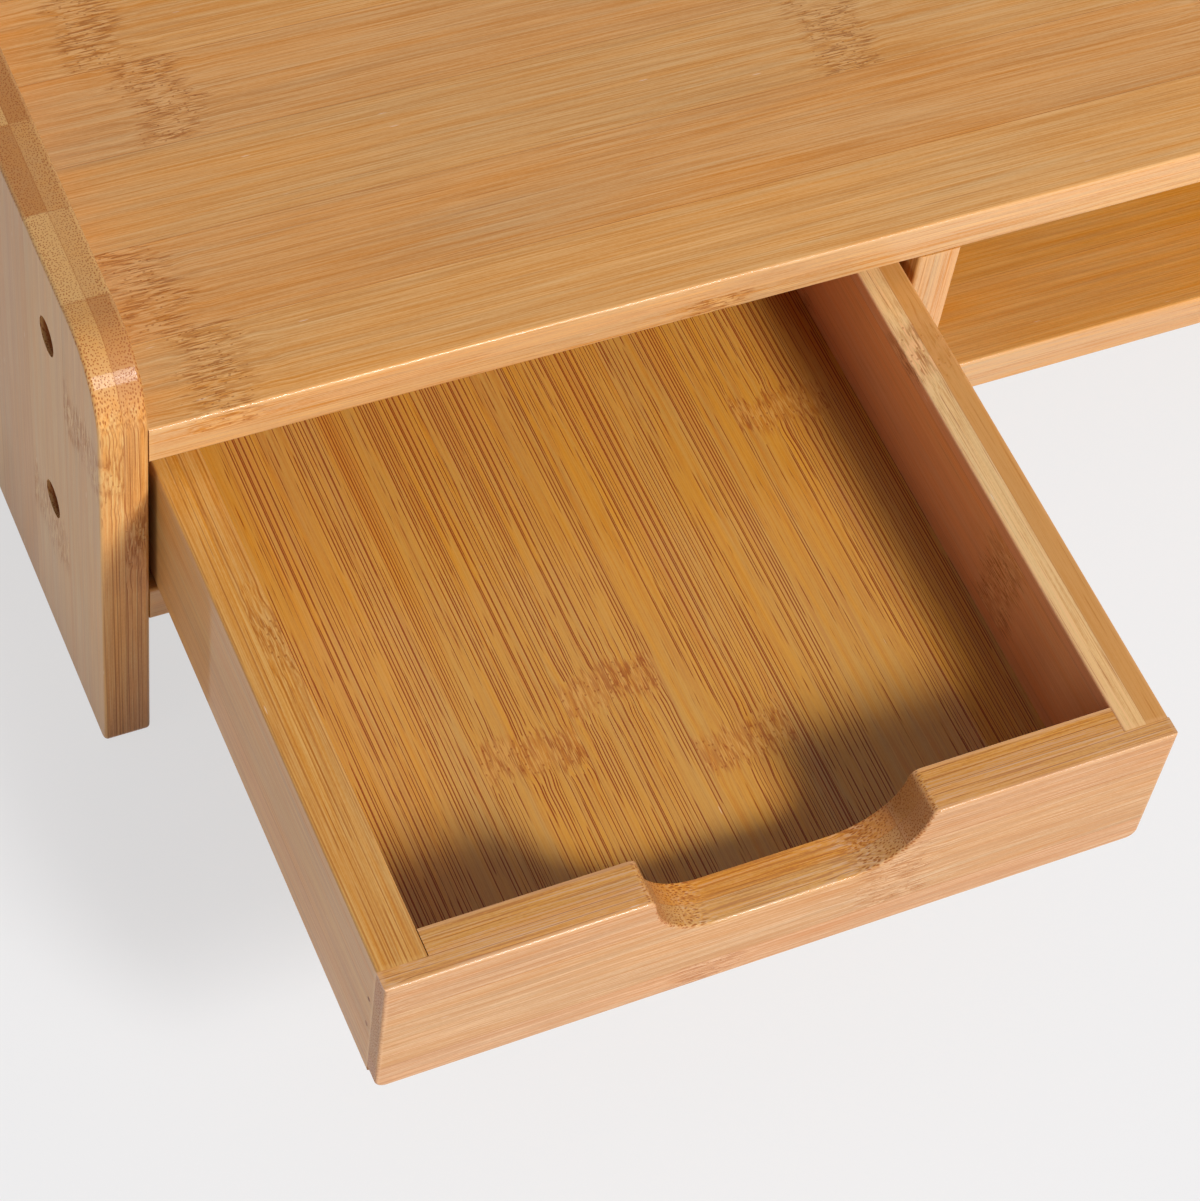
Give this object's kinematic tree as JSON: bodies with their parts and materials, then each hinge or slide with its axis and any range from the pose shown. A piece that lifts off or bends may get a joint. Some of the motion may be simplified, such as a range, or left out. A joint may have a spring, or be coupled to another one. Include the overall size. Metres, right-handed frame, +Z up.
{
  "type": "monitor stand with drawers",
  "caption": "Wide, low bamboo stand that lifts a monitor off the desk, with a sliding drawer at each end, an open bay between them and room for a keyboard below.",
  "frame": {"origin": "on the desk, in the middle of the box that the stand and its open left drawer fill", "axes": "+X to the right seen from the front, +Y to the back, +Z up; the drawers open towards -Y"},
  "size_m": [0.6, 0.3844, 0.145],
  "materials": {
    "left_side_panel": "clear satin lacquer on laminated bamboo",
    "right_side_panel": "clear satin lacquer on laminated bamboo",
    "top_shelf": "clear satin lacquer on laminated bamboo",
    "lower_board": "clear satin lacquer on laminated bamboo",
    "left_divider": "clear satin lacquer on laminated bamboo",
    "right_divider": "clear satin lacquer on laminated bamboo",
    "left_bay_back": "clear satin lacquer on laminated bamboo",
    "right_bay_back": "clear satin lacquer on laminated bamboo",
    "left_drawer_front": "clear satin lacquer on laminated bamboo",
    "left_drawer_left_wall": "clear satin lacquer on laminated bamboo",
    "left_drawer_right_wall": "clear satin lacquer on laminated bamboo",
    "left_drawer_back": "clear satin lacquer on laminated bamboo",
    "left_drawer_floor": "clear satin lacquer on laminated bamboo",
    "right_drawer_front": "clear satin lacquer on laminated bamboo",
    "right_drawer_left_wall": "clear satin lacquer on laminated bamboo",
    "right_drawer_right_wall": "clear satin lacquer on laminated bamboo",
    "right_drawer_back": "clear satin lacquer on laminated bamboo",
    "right_drawer_floor": "clear satin lacquer on laminated bamboo",
    "zinc_screws": "dull zinc plate",
    "brads": "plain steel, slightly dulled",
    "dowels": "bare beech"
  },
  "bodies": {
    "stand": {"left_side_panel": "left_side_panel", "right_side_panel": "right_side_panel", "top_shelf": "top_shelf", "lower_board": "lower_board", "left_divider": "left_divider", "right_divider": "right_divider", "left_bay_back": "left_bay_back", "right_bay_back": "right_bay_back", "left_panel_screws": "zinc_screws", "right_panel_screws": "zinc_screws", "underside_screws": "zinc_screws", "divider_dowels": "dowels"},
    "left_drawer": {"left_drawer_front": "left_drawer_front", "left_drawer_left_wall": "left_drawer_left_wall", "left_drawer_right_wall": "left_drawer_right_wall", "left_drawer_back": "left_drawer_back", "left_drawer_floor": "left_drawer_floor", "left_drawer_brads": "brads"},
    "right_drawer": {"right_drawer_front": "right_drawer_front", "right_drawer_left_wall": "right_drawer_left_wall", "right_drawer_right_wall": "right_drawer_right_wall", "right_drawer_back": "right_drawer_back", "right_drawer_floor": "right_drawer_floor", "right_drawer_brads": "brads"}
  },
  "joints": [
    {"name": "left_drawer_slide", "type": "slide", "parent": "stand", "child": "left_drawer", "axis": [0, -1, 0], "range_m": [-0.1445, 0.045]},
    {"name": "right_drawer_slide", "type": "slide", "parent": "stand", "child": "right_drawer", "axis": [0, -1, 0], "range_m": [0, 0.1895]}
  ]
}
